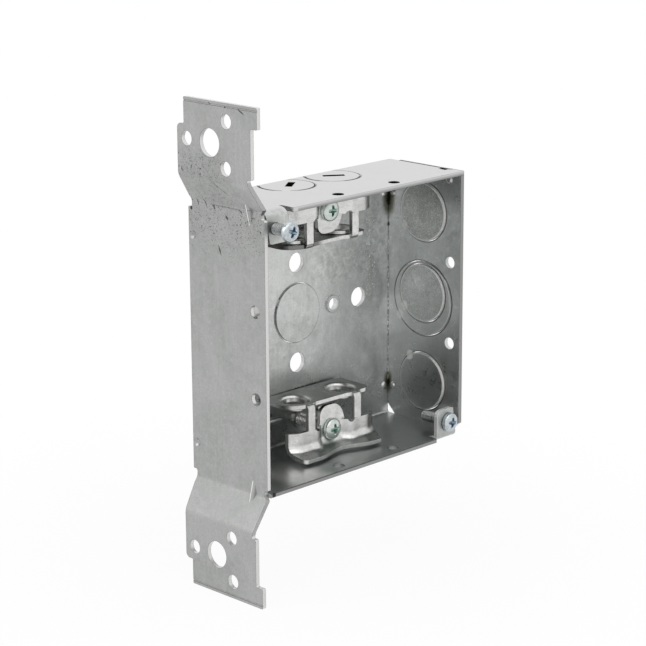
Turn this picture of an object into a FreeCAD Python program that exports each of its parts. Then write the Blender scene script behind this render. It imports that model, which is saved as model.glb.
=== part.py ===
import FreeCAD, Part
import math
import os

# Square steel outlet box with a side bracket, two cable clamps and two cover screws.
# Millimetres. +Z is up, the box opens towards -Y, and the origin is the centre of
# the back wall's outer face. A "depth" is counted from the front opening towards +Y, a "reach"
# from the back wall's outer face towards -Y, and a "level" inwards from the outer face of the
# nearest wall.

V = FreeCAD.Vector
X_AXIS = V(1, 0, 0)
Y_AXIS = V(0, 1, 0)
Z_AXIS = V(0, 0, 1)

# Box
box_width = 101.6
box_height = 101.6
box_depth = 38.1
sheet = 1.6
bend_inside = 1.0
corner_gap = 6.8            # the right wall's back corners are clipped at 45 degrees
corner_lug = 6.0            # length of the lug the top wall has over the right wall's front corner
corner_notch = (6.2, 9.7)   # depths of the notch behind the lug
corner_notch_width = 1.9
corner_cut_high = 4.8       # the right wall's lower front corner, cut in two slants
corner_cut_low = 2.3
corner_cut_middle = 3.0
corner_cut_deep = 5.0

# Knockouts
knockout_radius = 11.1
knockout_shear = 0.3        # width of the sheared line round a knockout
knockout_push = 0.7         # how far a sheared disc stands in from its wall
knockout_tie = 2.4
side_knockout_depth = 18.5
side_knockout_level = 17.8
knockout_tie_angle = 150.0
side_tie_angle = 215.0
lower_tie_angle = 125.0
inner_knockout_rise = 1.7
outer_knockout_radius = 14.2
outer_knockout_rise = -0.5
outer_knockout_push = 0.25

# Pry-out cable knockouts in the top and bottom walls
pryout_radius = 9.9
pryout_spacing = 23.2
pryout_centre = -0.5
pryout_reach = 9.3
pry_slot_length = 8.0
pry_slot_width = 2.6
pry_slot_angle = 36.0
pry_slot_spacing = 22.2
pry_slot_centre = 0.7
pryout_tie = 3.0
pryout_tie_angle = 45.0

# Small holes of the box
mounting_hole_radius = 3.75
mounting_hole_rise = 19.0
mounting_hole_side = 32.5
ground_hole_radius = 2.4
ground_hole_side = 18.5
ground_rim_width = 0.9
ground_rim_height = 0.8
side_hole_radius = 2.25
side_hole_depth = 5.1
side_hole_rise = 15.6
wall_hole_radius = 2.1
wall_hole_depth = 4.4
wall_hole_left = -10.8
wall_hole_right = 17.8

# Ribs pressed in the back wall, which grip the cables against the clamps
grip_rib_side = 12.6
grip_rib_level = 11.8
grip_rib_length = 6.6
grip_rib_width = 2.4
grip_rib_height = 1.4

# Weld marks
weld_radius = 1.6
weld_height = 0.6
weld_level = 12.8
front_weld_depth = 5.7
weld_inset = 2.2

# Side bracket
joggle = 7.8                # how far the ears stand out from the wall
joggle_level = 0.3           # where the joggle starts, below the top wall's outer face
joggle_run = 11.0
joggle_foot_bend = 3.0
joggle_head_bend = 5.0
notch_level = 2.8
notch_depth = 1.5
neck_front = 0.0
neck_back = 1.9
ear_front = -1.9
ear_back = 3.8
tip_front = -5.1
tip_back = 7.2
neck_rise = 12.5            # the bracket's rises are counted up from the top wall's outer face
tip_front_rise = 29.9
tip_back_rise = 28.0
ear_rise = 37.3
crease_inset = 1.2          # the scored line along each ear's tip
crease_width = 0.5
crease_depth = 0.2
nail_hole_radius = 4.9
nail_hole = (18.1, 23.0)
ear_hole_radius = 2.6
ear_holes = ((29.6, 23.1), (9.85, 31.1), (10.3, 15.0))
gusset_radius = 1.15
gusset_depth = 7.0
gusset_foot = 5.0
gusset_top = 2.6

# Tabs for the cover screws
tab_inset = 1.0
tab_bend_lower = 0.3
tab_bend_upper = 2.0
tab_near = 12.5             # the tab's sides, in from the side wall's outer face
tab_far = 2.2
tab_far_top = 3.6
tab_top = 11.6              # height of the tab above the outer face it is folded from
tab_corner = 2.4
tab_relief = 1.3
cover_screw_inset = 6.35

# Screws
thread_gap = 0.05
cover_shank_radius = 2.08
cover_head_radius = 3.6
cover_head_height = 2.4
cover_screw_length = 12.7
cover_head_gap = 0.15
cover_screw_out = 6.1       # how far the upper cover screw is backed out
clamp_shank_radius = 2.35
clamp_head_radius = 4.0
clamp_head_height = 2.4
clamp_tip_inset = 0.2
clamp_head_room = 0.15      # round the head, in its seat
cross_width = 1.1
cross_depth = 1.3
tip_taper = 0.8

# Cable clamps
clamp_sheet = 1.5
clamp_centre = 0.5
clamp_screw_level = 9.8
clamp_plate_level = 21.8
clamp_plate_half = 20.0
clamp_plate_corner = 6.5
clamp_plate_right = 3.0     # radius of its other front corner
clamp_plate_edge = 1.0
clamp_face_reach = 20.1
clamp_bend = 0.5
clamp_seat_gap = 0.1
clamp_slack = 0.7           # how far the lower clamp stands off, slackened
clamp_skew = 1.9            # degrees that the slack clamp has swung about its screw
leg_centre = 11.6
leg_width = 3.4
tongue_reach = 17.8
tongue_centre = 0.6
tongue_half = 6.6
tongue_half_top = 5.0
tongue_round = 4.6
tongue_level = 18.6         # the tongue's tip
tongue_fold = 13.4          # above this the tongue leans back
tongue_lean = 1.0
tongue_bend = 3.0
slot_level = 11.0
eyelet_radius = 5.3
eyelet_side = 11.3
eyelet_reach = 10.7
eyelet_wall = 1.1
eyelet_height = 2.7
eyelet_round = 1.4
skirt_level = 12.1          # the skirt's upper edge
skirt_half = 21.3
skirt_right = 20.7          # the skirt's right end, which its lip slants in from
skirt_blend = 1.6           # run of the step between the tongue's and the wings' planes
lip_level = 4.1
lip_bend = 3.0
lip_angle = 84.0
lip_centre_reach = 23.5
lip_saddle = 3.4            # how much further forward the lip comes over each cable
lip_saddle_side = 14.0
lip_corner = 2.4
lip_right = 17.4
skirt_curl = 2.3            # how far the skirt's ends turn back
skirt_curl_start = 15.5

half_width = box_width / 2
half_height = box_height / 2
front = -box_depth
back_inside = -sheet
side_inside = half_width - sheet
wall_inside = half_height - sheet
bend_outside = bend_inside + sheet
clamp_hole_radius = clamp_shank_radius + thread_gap
joggle_start = half_height - joggle_level
notch_start = half_height - notch_level
cover_screw_x = half_width - cover_screw_inset
cover_screw_z = half_height - cover_screw_inset
clamp_screw_rise = half_height - clamp_screw_level
weld_rise = half_height - weld_level


def deep(depth):
    """Y of a point at this depth behind the front opening."""
    return front + depth


def block(x_range, y_range, z_range):
    """A box between two values on each axis, given in either order."""
    low = V(min(x_range), min(y_range), min(z_range))
    high = V(max(x_range), max(y_range), max(z_range))
    size = high - low
    return Part.makeBox(size.x, size.y, size.z, low)


def rod(radius, start, axis, length):
    return Part.makeCylinder(radius, length, start, axis)


def rounded_wire(corners, place):
    """A closed wire through (u, v, radius) corners, with an arc at each corner that has a radius."""
    entries = []
    for index, corner in enumerate(corners):
        here = V(corner[0], corner[1], 0)
        radius = corner[2] if len(corner) > 2 else 0
        if radius <= 0:
            entries.append((here, here, here))
            continue
        last = corners[index - 1]
        following = corners[(index + 1) % len(corners)]
        back = (V(last[0], last[1], 0) - here).normalize()
        ahead = (V(following[0], following[1], 0) - here).normalize()
        half_angle = back.getAngle(ahead) / 2
        reach = radius / math.tan(half_angle)
        middle = (back + ahead).normalize()
        centre = here + middle * (radius / math.sin(half_angle))
        entries.append((here + back * reach, centre - middle * radius, here + ahead * reach))
    edges = []
    for index, (start, middle, end) in enumerate(entries):
        if (end - start).Length > 1e-6:
            edges.append(Part.Arc(place(start), place(middle), place(end)).toShape())
        after = entries[(index + 1) % len(entries)][0]
        if (after - end).Length > 1e-6:
            edges.append(Part.makeLine(place(end), place(after)))
    return Part.Wire(edges)


def prism_x(corners, x_range):
    """Extrude a (y, z) outline along X."""
    low, high = min(x_range), max(x_range)
    wire = rounded_wire(corners, lambda point: V(low, point.x, point.y))
    return Part.Face(wire).extrude(V(high - low, 0, 0))


def prism_y(corners, y_range):
    """Extrude an (x, z) outline along Y."""
    low, high = min(y_range), max(y_range)
    wire = rounded_wire(corners, lambda point: V(point.x, low, point.y))
    return Part.Face(wire).extrude(V(0, high - low, 0))


def prism_z(corners, z_range):
    """Extrude an (x, y) outline along Z."""
    low, high = min(z_range), max(z_range)
    wire = rounded_wire(corners, lambda point: V(point.x, point.y, low))
    return Part.Face(wire).extrude(V(0, 0, high - low))


def mirrored_z(shape):
    return shape.mirror(V(0, 0, 0), Z_AXIS)


def half_turned(shape):
    """The shape turned half round about the Y axis, to the opposite corner of the box."""
    turned = shape.copy()
    turned.rotate(V(0, 0, 0), Y_AXIS, 180)
    return turned


def around(centre, normal, across, angle, distance):
    """A point at an angle and distance from a centre, in the plane across a normal."""
    side = normal.cross(across)
    turn = math.radians(angle)
    return centre + (across * math.cos(turn) + side * math.sin(turn)) * distance


def tie_bar(centre, normal, across, angle, inner, outer, width, height):
    """A bar from one radius to another at an angle, as thick as the wall it ties."""
    start = around(centre, normal, across, angle, inner)
    bar = Part.makeBox(outer - inner, width, height, V(0, -width / 2, 0))
    along = (start - centre).normalize()
    side = normal.cross(along)
    bar.Placement = FreeCAD.Placement(start, FreeCAD.Rotation(along, side, normal, "ZXY"))
    return bar


def shear_ring(centre, normal, across, radius, ties, tie_width, depth):
    """The sheared line round a knockout, broken where the ties hold it."""
    outer = rod(radius + knockout_shear, centre, normal, depth)
    ring = outer.cut(rod(radius, centre, normal, depth))
    for angle in ties:
        ring = ring.cut(tie_bar(centre, normal, across, angle, radius - tie_width,
                                radius + tie_width, tie_width, depth))
    return ring


def add_knockout(wall, centre, inward, across, radius, ties, push):
    """Shear a disc in a wall and push it inwards. The centre is on the wall's outer face."""
    wall = wall.cut(shear_ring(centre, inward, across, radius, ties, knockout_tie, sheet))
    wall = wall.cut(rod(radius, centre, inward, push))
    return wall.fuse(rod(radius, centre + inward * sheet, inward, push))


def weld_nub(place, normal):
    return Part.makeCone(weld_radius, weld_radius / 2, weld_height, place, normal)


def channel():
    """Top, back and bottom walls, folded from one strip."""
    low_out, high_out = -half_height, half_height
    section = [(front, low_out), (0, low_out, bend_outside), (0, high_out, bend_outside),
               (front, high_out), (front, wall_inside), (back_inside, wall_inside, bend_inside),
               (back_inside, -wall_inside, bend_inside), (front, -wall_inside)]
    return prism_x(section, (-side_inside, side_inside))


def corner_lug_block():
    """The lug of the top wall that closes the box's upper right front corner."""
    return block((side_inside, half_width), (front, deep(corner_lug)), (wall_inside, half_height))


def corner_notch_cut():
    """The notch in the top wall's right end, behind the lug."""
    low, high = corner_notch
    return block((side_inside - corner_notch_width, half_width), (deep(low), deep(high)),
                 (wall_inside - 0.01, half_height + sheet))


def pry_slot(side):
    """The screwdriver slot of a cable knockout in the top wall."""
    slot = block((-pry_slot_length / 2, pry_slot_length / 2),
                 (-pry_slot_width / 2, pry_slot_width / 2), (-sheet, sheet))
    slot.rotate(V(0, 0, 0), Z_AXIS, -side * pry_slot_angle)
    x = pry_slot_centre + side * pry_slot_spacing / 2
    slot.translate(V(x, -pryout_reach, half_height))
    return slot


def pryouts():
    """The cuts of the two cable knockouts in the top wall."""
    cuts = []
    for side in (-1, 1):
        tie = 90 - side * pryout_tie_angle
        x = pryout_centre + side * pryout_spacing / 2
        cuts.append(shear_ring(V(x, -pryout_reach, half_height), V(0, 0, -1), X_AXIS,
                               pryout_radius, (tie,), pryout_tie, sheet))
        cuts.append(pry_slot(side))
    return cuts


def grip_rib(side, level):
    """A half-round rib on the back wall's inner face, with rounded ends."""
    half = grip_rib_length / 2
    end = grip_rib_width / 2 - 0.01
    outline = [(-half, -grip_rib_width / 2, end), (half, -grip_rib_width / 2, end),
               (half, grip_rib_width / 2, end), (-half, grip_rib_width / 2, end)]
    bar = prism_y(outline, (back_inside - grip_rib_height, back_inside))
    radius = (grip_rib_width ** 2 / 4 + grip_rib_height ** 2) / (2 * grip_rib_height)
    crown = rod(radius, V(-half, back_inside - grip_rib_height + radius, 0), X_AXIS, grip_rib_length)
    rib = bar.common(crown)
    rib.translate(V(side * grip_rib_side, 0, level * (half_height - grip_rib_level)))
    return rib


def cover_tab(bend):
    """The lower right tab, folded up from the bottom wall to take a cover screw."""
    face = deep(tab_inset)
    root = face + bend + sheet + tab_relief
    fold = bend + sheet
    top = -half_height + tab_top
    section = [(root, -half_height), (face, -half_height, fold), (face, top),
               (face + sheet, top), (face + sheet, -wall_inside, bend), (root, -wall_inside)]
    near, far = half_width - tab_near, half_width - tab_far
    strip = prism_x(section, (near, far))
    outline = [(near, -half_height), (far, -half_height), (far, -half_height + fold),
               (half_width - tab_far_top, top, tab_corner / 2), (near, top, tab_corner)]
    tab = strip.common(prism_y(outline, (face - sheet, root + sheet)))
    hole = rod(cover_shank_radius + thread_gap, V(cover_screw_x, face - sheet, -cover_screw_z),
               Y_AXIS, 3 * sheet)
    return tab.cut(hole)


def tab_notch(bend):
    """The room cut in the bottom wall for the fold of a cover tab and its reliefs."""
    root = deep(tab_inset + bend + sheet + tab_relief)
    return block((half_width - tab_near - tab_relief, half_width), (front - sheet, root),
                 (-half_height - sheet, -wall_inside + 0.01))


def box_shell():
    shell = channel().fuse(corner_lug_block())
    cuts = [corner_notch_cut(), half_turned(corner_notch_cut())]
    cuts += [tab_notch(tab_bend_lower), half_turned(tab_notch(tab_bend_upper))]
    for cut in pryouts():
        cuts += [cut, mirrored_z(cut)]
    for level in (-1, 1):
        for x in (wall_hole_left, wall_hole_right):
            cuts.append(rod(wall_hole_radius, V(x, deep(wall_hole_depth), level * half_height + sheet),
                            V(0, 0, -1), 3 * sheet))
    for x, z in ((0, mounting_hole_rise), (0, -mounting_hole_rise),
                 (mounting_hole_side, 0), (-mounting_hole_side, 0)):
        cuts.append(rod(mounting_hole_radius, V(x, -2 * sheet, z), Y_AXIS, 3 * sheet))
    shell = shell.cut(cuts)
    shell = shell.fuse([cover_tab(tab_bend_lower), half_turned(cover_tab(tab_bend_upper))])
    shell = add_knockout(shell, V(0, 0, 0), V(0, -1, 0), X_AXIS, knockout_radius,
                         (knockout_tie_angle, knockout_tie_angle + 180), knockout_push)
    bosses = []
    bores = []
    for x in (ground_hole_side, -ground_hole_side):
        bosses.append(rod(ground_hole_radius + ground_rim_width, V(x, back_inside, 0),
                          V(0, -1, 0), ground_rim_height))
        bores.append(rod(ground_hole_radius, V(x, -2 * sheet, 0), Y_AXIS, 3 * sheet))
    for level in (-1, 1):
        place = V(clamp_centre, back_inside, level * clamp_screw_rise)
        bosses.append(rod(clamp_hole_radius + ground_rim_width, place, V(0, -1, 0), ground_rim_height))
        bores.append(rod(clamp_hole_radius, V(place.x, -2 * sheet, place.z), Y_AXIS, 3 * sheet))
        bosses.append(weld_nub(V(side_inside - weld_inset, back_inside, level * weld_rise), V(0, -1, 0)))
        bosses += [grip_rib(-1, level), grip_rib(1, level)]
    return shell.fuse(bosses).cut(bores).removeSplitter()


def right_side_wall():
    corners = [(front, -half_height + corner_cut_high),
               (deep(corner_cut_middle), -half_height + corner_cut_low),
               (deep(corner_cut_deep), -half_height),
               (-corner_gap, -half_height), (0, -half_height + corner_gap),
               (0, half_height - corner_gap), (-corner_gap, half_height),
               (deep(corner_lug), half_height), (deep(corner_lug), wall_inside), (front, wall_inside)]
    wall = prism_x(corners, (side_inside, half_width))
    inward = V(-1, 0, 0)
    outer_face = V(half_width, deep(side_knockout_depth), 0)
    for level, tie in ((1, side_tie_angle), (-1, lower_tie_angle)):
        centre = outer_face + Z_AXIS * (level * (half_height - side_knockout_level))
        wall = add_knockout(wall, centre, inward, Y_AXIS * -1, knockout_radius, (tie,), knockout_push)
    wall = add_knockout(wall, outer_face + Z_AXIS * outer_knockout_rise, inward, Y_AXIS * -1,
                        outer_knockout_radius, (side_tie_angle, side_tie_angle - 180),
                        outer_knockout_push)
    disc_face = outer_face + Z_AXIS * inner_knockout_rise
    wall = wall.cut(shear_ring(disc_face, inward, Y_AXIS * -1, knockout_radius, (side_tie_angle,),
                               knockout_tie, 2 * sheet))
    wall = wall.cut(rod(knockout_radius, disc_face, inward, knockout_push))
    wall = wall.fuse(rod(knockout_radius, disc_face + inward * sheet, inward, knockout_push))
    cuts = []
    for level in (-1, 1):
        cuts.append(rod(side_hole_radius, V(half_width + sheet, deep(side_hole_depth),
                                            level * side_hole_rise), inward, 3 * sheet))
    wall = wall.cut(cuts)
    nubs = [weld_nub(V(side_inside, back_inside - weld_inset, level * weld_rise), inward)
            for level in (-1, 1)]
    nubs.append(weld_nub(V(side_inside, deep(front_weld_depth), wall_inside - weld_inset), inward))
    return wall.fuse(nubs).removeSplitter()


def bracket_section():
    """The bracket's upper half seen along Y: wall, joggle and ear."""
    slant = math.atan2(joggle, joggle_run)
    lag = sheet * math.tan(slant / 2)
    outer_x, inner_x = -half_width, -side_inside
    start, end = joggle_start, joggle_start + joggle_run
    tip = half_height + ear_rise
    return [(outer_x, 0), (outer_x, start, joggle_foot_bend),
            (outer_x - joggle, end, joggle_head_bend + sheet),
            (outer_x - joggle, tip), (inner_x - joggle, tip),
            (inner_x - joggle, end + lag, joggle_head_bend),
            (inner_x, start + lag, joggle_foot_bend + sheet), (inner_x, 0)]


def bracket_outline():
    """The bracket's upper half seen from the side, as (y, z) corners from its front edge round."""
    neck, tip = half_height + neck_rise, half_height + ear_rise
    front_step, back_step = half_height + tip_front_rise, half_height + tip_back_rise
    return [(front, 0), (front, notch_start, 0.6), (deep(notch_depth), notch_start + 0.4, 0.5),
            (deep(notch_depth), joggle_start - 0.3, 0.5), (deep(neck_front), half_height + 0.9, 0.6),
            (deep(neck_front), neck, 0.5), (deep(ear_front), neck, 0.6),
            (deep(ear_front), front_step, 0.6), (deep(tip_front), front_step, 0.5),
            (deep(tip_front), tip, 0.4), (-tip_back, tip, 0.4), (-tip_back, back_step, 0.5),
            (-ear_back, back_step, 1.8), (-ear_back, neck, 2.0),
            (-neck_back, joggle_start + 2.0, 1.0), (-neck_back, notch_start, 0.8),
            (0, notch_start, 0.4), (0, 0)]


def gusset():
    """The half-round dart pressed across the joggle's fold to stiffen it."""
    lean = joggle / joggle_run * gusset_top
    low, high = joggle_start - gusset_foot, joggle_start + gusset_top
    outline = [(-half_width, low), (-half_width - lean, high), (sheet / 2 - half_width - lean, high),
               (sheet / 2 - half_width, joggle_start), (sheet / 2 - half_width, low)]
    y = deep(gusset_depth)
    wedge = prism_y(outline, (y - gusset_radius, y + gusset_radius))
    crown = V(-lean, 0, high - low)
    inward = V(high - low, 0, lean).normalize() * gusset_radius
    start = V(-half_width, y, low) + inward
    return wedge.common(rod(gusset_radius, start - crown, crown, 3 * crown.Length))


def ear_crease():
    """The line scored along the tip of an ear."""
    tip = half_height + ear_rise - crease_inset
    face = -half_width - joggle
    return block((face - sheet, face + crease_depth), (deep(tip_front) - sheet, sheet),
                 (tip - crease_width / 2, tip + crease_width / 2))


def bracket_side_wall():
    half = prism_y(bracket_section(), (deep(tip_front) - sheet, sheet))
    outline = prism_x(bracket_outline(), (-half_width - joggle - sheet, -side_inside + sheet))
    half = half.common(outline).fuse(gusset())
    cuts = [ear_crease()]
    for radius, (depth, rise) in [(nail_hole_radius, nail_hole)] + [(ear_hole_radius, p) for p in ear_holes]:
        start = V(-half_width - joggle - sheet, deep(depth), half_height + rise)
        cuts.append(rod(radius, start, X_AXIS, 3 * sheet))
    cuts.append(rod(side_hole_radius, V(-half_width - sheet, deep(side_hole_depth), side_hole_rise),
                    X_AXIS, 3 * sheet))
    cuts.append(Part.makeCone(weld_radius, weld_radius / 2, weld_height,
                              V(-half_width, back_inside - sheet / 3, weld_rise), X_AXIS))
    half = half.cut(cuts)
    return half.fuse(mirrored_z(half)).removeSplitter()


def level_z(level):
    """Z of a point at this level above the bottom wall's outer face."""
    return -half_height + level


def clamp_plate():
    """The clamp's level plate with its two flanged cable eyelets."""
    top = level_z(clamp_plate_level)
    fold = -clamp_face_reach + clamp_bend + clamp_sheet
    back = back_inside - clamp_seat_gap
    half = clamp_plate_half
    plate = prism_z([(-half, back, clamp_plate_edge), (-half, fold, clamp_plate_corner),
                     (half, fold, clamp_plate_right), (half, back, clamp_plate_edge)],
                    (top - clamp_sheet, top))
    rim = eyelet_radius + eyelet_round + clamp_sheet
    for side in (-1, 1):
        x, y = side * eyelet_side, -eyelet_reach
        plate = plate.cut(rod(rim, V(x, y, top - 2 * clamp_sheet), Z_AXIS, 4 * clamp_sheet))
        section = [(rim, 0), (eyelet_radius, 0, eyelet_round), (eyelet_radius, -eyelet_height),
                   (eyelet_radius + eyelet_wall, -eyelet_height),
                   (eyelet_radius + eyelet_wall, -clamp_sheet, eyelet_round / 3), (rim, -clamp_sheet)]
        wire = rounded_wire(section, lambda point: V(point.x, 0, point.y))
        collar = Part.Face(wire).revolve(V(0, 0, 0), Z_AXIS, 360)
        collar.translate(V(x, y, top))
        plate = plate.fuse(collar)
    return plate


def clamp_leg(side):
    """One leg, folded down from the plate's front edge."""
    top = level_z(clamp_plate_level)
    foot = level_z(skirt_level) - clamp_sheet
    face = -clamp_face_reach
    fold = clamp_bend + clamp_sheet
    section = [(face + fold, top), (face, top, fold), (face, foot), (face + clamp_sheet, foot),
               (face + clamp_sheet, top - clamp_sheet, clamp_bend), (face + fold, top - clamp_sheet)]
    centre = side * leg_centre
    return prism_x(section, (centre - leg_width / 2, centre + leg_width / 2))


def clamp_tongue():
    """The round-topped tongue that the clamp screw passes through, leaning back at its end."""
    y = -tongue_reach
    root = level_z(skirt_level) - clamp_sheet
    fold, top, slot = level_z(tongue_fold), level_z(tongue_level), level_z(slot_level)
    lean = math.atan2(tongue_lean, top - fold)
    lag = clamp_sheet * math.tan(lean / 2)
    section = [(y, root), (y, fold, tongue_bend), (y + tongue_lean, top),
               (y + tongue_lean + clamp_sheet, top),
               (y + clamp_sheet, fold - lag, tongue_bend), (y + clamp_sheet, root)]
    low, high = tongue_centre - tongue_half, tongue_centre + tongue_half
    strip = prism_x(section, (low, high))
    outline = [(low, root), (high, root), (high, slot),
               (tongue_centre + tongue_half_top, top, tongue_round),
               (tongue_centre - tongue_half_top, top, tongue_round), (low, slot)]
    return strip.common(prism_y(outline, (y - clamp_sheet, y + 3 * clamp_sheet)))


def skirt_base_reach(x):
    """Reach of the skirt's upright face: set back behind the screw, turned back at its ends."""
    step = min(max((abs(x) - tongue_half + skirt_blend) / (2 * skirt_blend), 0), 1)
    blend = (1 - math.cos(math.pi * step)) / 2
    reach = tongue_reach + (clamp_face_reach - tongue_reach) * blend
    past = max(abs(x) - skirt_curl_start, 0) / (skirt_half - skirt_curl_start)
    return reach - skirt_curl * past ** 2


def skirt_lip_reach(x):
    """Reach of the skirt's lip, which comes forward in a saddle over each cable."""
    place = min(abs(x), lip_saddle_side)
    wave = math.sin(math.pi * place / (2 * lip_saddle_side)) ** 2
    return lip_centre_reach + lip_saddle * wave


def skirt_section(x):
    """The skirt's cross-section at one place along it: upright, rounded bend, flared lip."""
    angle = math.radians(lip_angle)
    base = -skirt_base_reach(x)
    run = (skirt_lip_reach(x) + base - lip_bend * (1 - math.cos(angle))) / math.sin(angle)
    bend_z = level_z(lip_level) + run * math.cos(angle) + lip_bend * math.sin(angle)
    outer = lip_bend + clamp_sheet

    def on_bend(radius, turn):
        return V(x, base - lip_bend + radius * math.cos(turn), bend_z - radius * math.sin(turn))

    def past_bend(radius, distance):
        end = on_bend(radius, angle)
        return end + V(0, -math.sin(angle), -math.cos(angle)) * distance

    front_top = V(x, base, level_z(skirt_level))
    back_top = V(x, base + clamp_sheet, level_z(skirt_level))
    half = angle / 2
    inner_arc = Part.Arc(on_bend(lip_bend, 0), on_bend(lip_bend, half), on_bend(lip_bend, angle))
    outer_arc = Part.Arc(on_bend(outer, angle), on_bend(outer, half), on_bend(outer, 0))
    edges = [Part.makeLine(front_top, on_bend(lip_bend, 0)),
             inner_arc.toShape(),
             Part.makeLine(on_bend(lip_bend, angle), past_bend(lip_bend, run)),
             Part.makeLine(past_bend(lip_bend, run), past_bend(outer, run)),
             Part.makeLine(past_bend(outer, run), on_bend(outer, angle)),
             outer_arc.toShape(),
             Part.makeLine(on_bend(outer, 0), back_top),
             Part.makeLine(back_top, front_top)]
    return Part.Wire(edges)


def clamp_skirt():
    """The flared, waved skirt that presses on the cables."""
    sides = [0, tongue_half / 2, tongue_half - skirt_blend, tongue_half, tongue_half + skirt_blend,
             leg_centre, lip_saddle_side, (skirt_curl_start * 2 + skirt_half) / 3,
             (skirt_curl_start + skirt_half * 2) / 3, skirt_half]
    places = [-x for x in reversed(sides[1:])] + sides
    skirt = Part.makeLoft([skirt_section(x) for x in places], True, False)
    edge = -lip_centre_reach - lip_saddle
    outline = [(-skirt_half, 0), (-skirt_half, edge, lip_corner), (lip_right, edge, lip_corner / 2),
               (skirt_right, -clamp_face_reach, lip_corner / 2), (skirt_right, 0)]
    return skirt.common(prism_z(outline, (-half_height, level_z(skirt_level))))


def clamp_slot(side):
    """The slot between the tongue and a leg, with a round bottom."""
    leg_side = side * (leg_centre - leg_width / 2)
    tongue_side = tongue_centre + side * tongue_half
    low, high = min(leg_side, tongue_side), max(leg_side, tongue_side)
    end = (high - low) / 2 - 0.01
    bottom, top = level_z(slot_level), level_z(skirt_level) + 1
    outline = [(low, bottom, end), (high, bottom, end), (high, top), (low, top)]
    return prism_y(outline, (-clamp_face_reach - 1, -tongue_reach + 2 * clamp_sheet))


def lower_clamp(slack, skew):
    """The lower cable clamp, standing off its seat by a slack and swung by a skew about its screw."""
    clamp = clamp_plate().fuse([clamp_leg(-1), clamp_leg(1), clamp_tongue(), clamp_skirt()])
    hole = rod(clamp_hole_radius + 2 * thread_gap, V(0, front, -clamp_screw_rise), Y_AXIS, box_depth)
    clamp = clamp.cut([clamp_slot(-1), clamp_slot(1), hole]).removeSplitter()
    clamp.rotate(V(0, -tongue_reach, 0), Z_AXIS, -skew)
    clamp.translate(V(clamp_centre, -slack, 0))
    seat = rod(clamp_head_radius + clamp_head_room, V(clamp_centre, front, -clamp_screw_rise), Y_AXIS,
               box_depth - tongue_reach - slack)
    return clamp.cut(seat)


def screw(head_radius, head_height, shank_radius, length):
    """A round-headed screw along +Y, with the seat of its head at the origin."""
    dome = head_height * 0.55
    section = [(0, -head_height), (head_radius, -head_height, dome), (head_radius, 0), (shank_radius, 0),
               (shank_radius, length - tip_taper), (shank_radius - tip_taper, length), (0, length)]
    wire = rounded_wire(section, lambda point: V(point.x, point.y, 0))
    body = Part.Face(wire).revolve(V(0, 0, 0), Y_AXIS, 360)
    reach = head_radius * 0.68
    top = -head_height
    slots = [block((-reach, reach), (top - 1, top + cross_depth), (-cross_width / 2, cross_width / 2)),
             block((-cross_width / 2, cross_width / 2), (top - 1, top + cross_depth), (-reach, reach))]
    return body.cut(slots)


def clamp_screw(level, slack):
    seat = -tongue_reach - thread_gap - slack
    length = tongue_reach + thread_gap - clamp_tip_inset
    shape = screw(clamp_head_radius, clamp_head_height, clamp_shank_radius, length)
    shape.translate(V(clamp_centre, seat, level * clamp_screw_rise))
    return shape


def cover_screw(level, backed_out):
    seat = deep(tab_inset) - cover_head_gap - backed_out
    shape = screw(cover_head_radius, cover_head_height, cover_shank_radius, cover_screw_length)
    shape.translate(V(-level * cover_screw_x, seat, level * cover_screw_z))
    return shape


def main():
    os.makedirs("parts", exist_ok=True)
    nodes = {
        "box_shell": box_shell(),
        "right_side_wall": right_side_wall(),
        "bracket_side_wall": bracket_side_wall(),
        "lower_cable_clamp": lower_clamp(clamp_slack, clamp_skew),
        "upper_cable_clamp": mirrored_z(lower_clamp(0, 0)),
        "lower_clamp_screw": clamp_screw(-1, clamp_slack),
        "upper_clamp_screw": clamp_screw(1, 0),
        "lower_cover_screw": cover_screw(-1, 0),
        "upper_cover_screw": cover_screw(1, cover_screw_out),
    }
    for name, shape in nodes.items():
        solids = shape.Solids
        box = shape.BoundBox
        print(name, "solids", len(solids), "valid", shape.isValid(), "volume", round(shape.Volume, 1),
              "x", round(box.XMin, 2), round(box.XMax, 2), "y", round(box.YMin, 2), round(box.YMax, 2),
              "z", round(box.ZMin, 2), round(box.ZMax, 2))
        if len(solids) == 1:
            shape = solids[0]
        shape.exportStep(os.path.join("parts", name + ".step"))


main()
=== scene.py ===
"""Finishes, threaded screws and a studio for a square steel electrical box with a side bracket."""

import math
import random

import bmesh
import bpy
from bpy.props import FloatProperty, FloatVectorProperty, IntProperty, PointerProperty
from mathutils import Matrix, Vector


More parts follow.
